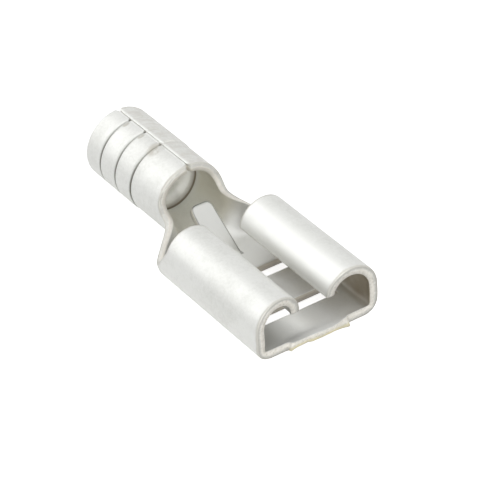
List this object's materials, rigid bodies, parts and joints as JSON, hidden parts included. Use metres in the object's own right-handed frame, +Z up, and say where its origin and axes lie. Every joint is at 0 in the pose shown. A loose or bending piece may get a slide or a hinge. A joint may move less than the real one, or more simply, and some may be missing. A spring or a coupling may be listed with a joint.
{
  "type": "female spade terminal",
  "caption": "Bare female spade terminal: a folded receptacle with two curls, slotted floor, open neck with a raised stop tongue, and a seamed, grooved wire barrel.",
  "frame": {"origin": "middle of the floor's front edge, on the floor's underside, where the tab enters", "axes": "+X out of the tab slot, towards the mating tab; -X runs along the wire barrel; +Y across the terminal; +Z up from the floor to the curls"},
  "size_m": [0.0184, 0.0076, 0.0043],
  "materials": {
    "tinned_brass": "matte tin plate over brass strip, bare metal at the cut edges"
  },
  "bodies": {
    "root": {"terminal": "tinned_brass"}
  },
  "joints": []
}
